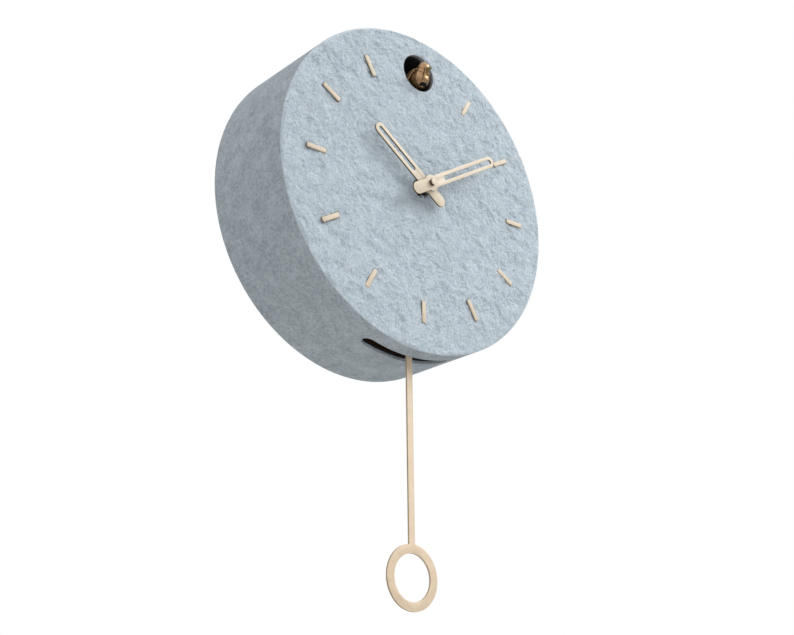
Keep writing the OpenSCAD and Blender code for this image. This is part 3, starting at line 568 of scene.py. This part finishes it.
def egg(at, radii):
    """An ellipsoid from its centre and three half sizes, in mm."""
    bpy.ops.mesh.primitive_uv_sphere_add(segments=40, ring_count=24, radius=MM, scale=radii,
                                         location=[v * MM for v in at])
    bpy.ops.object.transform_apply(location=True, rotation=True, scale=True)
    return bpy.context.object


def blend(parts, voxel_mm, rounds):
    """Joins shapes into one skin and softens the creases between them."""
    bpy.ops.object.select_all(action="DESELECT")
    for part in parts:
        part.select_set(True)
    bpy.context.view_layer.objects.active = parts[0]
    bpy.ops.object.join()
    apply_modifier(parts[0], "REMESH", mode="VOXEL", voxel_size=voxel_mm * MM)
    apply_modifier(parts[0], "SMOOTH", factor=0.5, iterations=rounds)
    return parts[0]


bronze = bronze_paint("polished_bronze", "#BE9A72", "#96724F", 0.3)
dull_bronze = bronze_paint("rubbed_beak_bronze", "#9A8760", "#7C6948", 0.4)
bead = finish("black_glass_bead", Base_Color=colour("#15110E"), Roughness=0.15)[0]

# Skull, breast and rump in one cast skin, with a groove along the parting line beside the breast and a
# notch over the foot, both lined black as painted shade
cast = blend([egg((0, -86, 96.5), (4.8, 4.9, 5.6)), egg((0, -83.5, 90), (6.2, 5.0, 7.2)),
              egg((0, -85, 93.5), (5.2, 4.8, 5.0)), egg((0, -79.5, 91.5), (6.0, 7.0, 6.2)),
              egg((0, -72, 92.2), (2.6, 4.6, 2.8))], 0.3, 8)
cast.data.materials.append(bronze)
cast.data.materials.append(black_flock_and_painted_shade)
parting_groove_shade = ((-2.5, -88.6, 90), (0.5, 4.6, 11.6), -10, 0.1)
foot_notch_shade = ((0.2, -88.5, 83.9), (6.4, 11, 1.9), 0, 0.8)
for at, size, tilt, soft in (parting_groove_shade, foot_notch_shade):
    bpy.ops.mesh.primitive_cube_add(size=1, location=[v * MM for v in at], scale=[v * MM for v in size],
                                    rotation=(math.radians(tilt), 0, 0))
    cut = bpy.context.object
    bpy.ops.object.transform_apply(location=True, rotation=True, scale=True)
    apply_modifier(cut, "BEVEL", width=soft * MM, segments=4)
    cut.data.materials.append(bronze)
    cut.data.materials.append(black_flock_and_painted_shade)
    # Every face of the cut takes the black flock: painted shade inside the groove and the notch
    for face in cut.data.polygons:
        face.material_index = 1
    carve(cast, cut)
# Room for the pusher's rod, which enters from behind
rod_z, rod_room = window_z - 3.5 * MM, 1.9 * MM
bpy.ops.mesh.primitive_cylinder_add(vertices=32, radius=rod_room, depth=12 * MM,
                                    rotation=(math.pi / 2, 0, 0), location=(0, -67.5 * MM, rod_z))
bpy.ops.object.transform_apply(location=True, rotation=True, scale=True)
carve(cast, bpy.context.object)
settle(cast, "cast_bird", 50)

upper_beak = blend([egg((0, -88.4, 95.0), (2.7, 2.8, 2.3)), egg((0, -91.2, 94.5), (1.8, 2.9, 1.3))], 0.2, 6)
upper_beak.data.materials.append(dull_bronze)
settle(upper_beak, "upper_beak", 50)
lower_beak = blend([egg((0, -89.6, 92.6), (1.3, 3.2, 0.7)), egg((0, -88.4, 93.0), (0.6, 1.4, 0.5))], 0.2, 6)
lower_beak.data.materials.append(dull_bronze)
settle(lower_beak, "lower_beak_shell", 50)

for side in (-1, 1):
    eye = egg((side * 4.35, -87.05, 92.65), (0.55, 0.65, 0.55))
    eye.data.materials.append(bead)
    settle(eye, "bead_eye_left" if side < 0 else "bead_eye_right")
    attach(eye, "bird")
    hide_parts("bird_body")

# Wing: a thin swept plate under its shoulder knuckle, hinged on the joint's own line
hinge_x, hinge_z, shoulder_y, lean = 6.3 * MM, window_z - 0.6 * MM, dial_low.y, math.radians(12)
plate_t, knuckle_r, pin_r, pin_play, arm_r = 0.8 * MM, 0.95 * MM, 0.45 * MM, 0.15 * MM, 0.4 * MM
wing_outline = ((-2.6, -0.5), (1.8, 0.2), (9.6, -1.7), (12, -4.7), (8.4, -7.6), (3.2, -7.2))
for side, node, body in ((-1, "bird_wing_right", "right_wing"), (1, "bird_wing_left", "left_wing")):
    bpy.ops.mesh.primitive_circle_add(vertices=len(wing_outline), radius=1, fill_type="NGON")
    wing = bpy.context.object
    for vertex, (along, up) in zip(wing.data.vertices, wing_outline):
        vertex.co = (0, along * MM, up * MM)
    apply_modifier(wing, "SOLIDIFY", thickness=plate_t, offset=0)
    apply_modifier(wing, "BEVEL", width=0.22 * MM, segments=3, limit_method="ANGLE",
                   angle_limit=math.radians(30))
    plate_x, shoulder = side * (hinge_x + knuckle_r - plate_t / 2), (side * hinge_x, hinge_z)
    wing.data.transform(Matrix.Translation((plate_x, shoulder_y, hinge_z))
                        @ Matrix.Rotation(-side * lean, 4, "Y"))
    carve(wing, round_bar(knuckle_r, shoulder_y - 2.6 * MM, shoulder_y + 2 * MM, shoulder, 32), "UNION")
    carve(wing, round_bar(pin_r + pin_play, shoulder_y - 0.02, shoulder_y + 0.02, shoulder, 24))
    wing.data.materials.append(bronze)
    settle(wing, "pressed_" + node, 40)
    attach(wing, body)
    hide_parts(node)

    # Shoulder pin, held at both ends by a short arm out of the body
    pin = round_bar(pin_r, shoulder_y - 5 * MM, shoulder_y + 3 * MM, shoulder, 24)
    for reach in (-4.6, 2.6):
        arm_at = (side * (hinge_x - 2 * MM), shoulder_y + reach * MM, hinge_z)
        bpy.ops.mesh.primitive_cylinder_add(vertices=24, radius=arm_r, depth=4 * MM,
                                            rotation=(0, math.pi / 2, 0), location=arm_at)
        bpy.ops.object.transform_apply(location=True, rotation=True, scale=True)
        carve(pin, bpy.context.object, "UNION")
    pin.data.materials.append(bronze)
    settle(pin, "shoulder_pin_" + node[10:])
    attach(pin, "bird")
    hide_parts("bird_body")

for piece, body, node in ((cast, "bird", "bird_body"), (upper_beak, "bird", "bird_body"),
                          (lower_beak, "lower_beak", "bird_beak")):
    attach(piece, body)
    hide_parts(node)


# ---- Room ----
# A white studio: a pale floor well under the clock, a large soft lamp above and to the right, and a
# white sky that is brightest above and to the left.

floor_z = cad_box[0].z - 0.25
bpy.ops.mesh.primitive_plane_add(size=4, location=(0, 0, floor_z))
floor = bpy.context.object
floor.name = "studio_floor"
floor_finish = finish("studio_floor_paint", Base_Color=colour("#D4D4D2"), Roughness=0.8)[0]
floor.data.materials.append(floor_finish)

sky = bpy.data.worlds.new("white_studio")
sky.use_nodes = True
sky_tree = sky.node_tree
seen = add(sky_tree, "ShaderNodeLightPath").outputs["Is Camera Ray"]
aim = add(sky_tree, "ShaderNodeTexCoord").outputs["Generated"]
rise = add(sky_tree, "ShaderNodeVectorMath", {0: aim, 1: (-0.45, -0.1, 0.88)},
           operation="DOT_PRODUCT").outputs["Value"]
glow = add(sky_tree, "ShaderNodeMapRange", {0: rise, 1: -0.2, 2: 0.95, 3: 0.10, 4: 1.3}).outputs[0]
level = add(sky_tree, "ShaderNodeMix", {0: seen, 2: glow, 3: 1.0}, data_type="FLOAT").outputs[0]
sky_tree.nodes["Background"].inputs[0].default_value = (1, 1, 1, 1)
sky_tree.links.new(level, sky_tree.nodes["Background"].inputs[1])
bpy.context.scene.world = sky
bpy.context.scene.view_settings.view_transform = "Standard"

lamp_data = bpy.data.lights.new("key_softbox", "AREA")
lamp_data.shape = "RECTANGLE"
lamp_data.size, lamp_data.size_y = 1.2, 1.2
lamp_data.energy = 32
lamp = bpy.data.objects.new("key_softbox", lamp_data)
bpy.context.scene.collection.objects.link(lamp)
lamp.location = (1.25, -1.15, 1.25)
lamp.rotation_euler = (Vector((0, -0.08, -0.02)) - lamp.location).to_track_quat("-Z", "Y").to_euler()

camera_data = bpy.data.cameras.new("viewpoint")
camera_data.lens, camera_data.sensor_width = 57.53, 36
camera = bpy.data.objects.new("viewpoint", camera_data)
bpy.context.scene.collection.objects.link(camera)
ahead = Vector((0.6187, 0.7031, 0.3504)).normalized()
level_right = ahead.cross(Vector((0, 0, 1))).normalized()
level_up = level_right.cross(ahead)
roll = math.radians(-0.658)
right = level_right * math.cos(roll) + level_up * math.sin(roll)
up = level_up * math.cos(roll) - level_right * math.sin(roll)
turn = Matrix((right, up, -ahead)).transposed().to_4x4()
camera.matrix_world = Matrix.Translation((-0.5603, -0.6892, -0.4091)) @ turn
bpy.context.scene.camera = camera
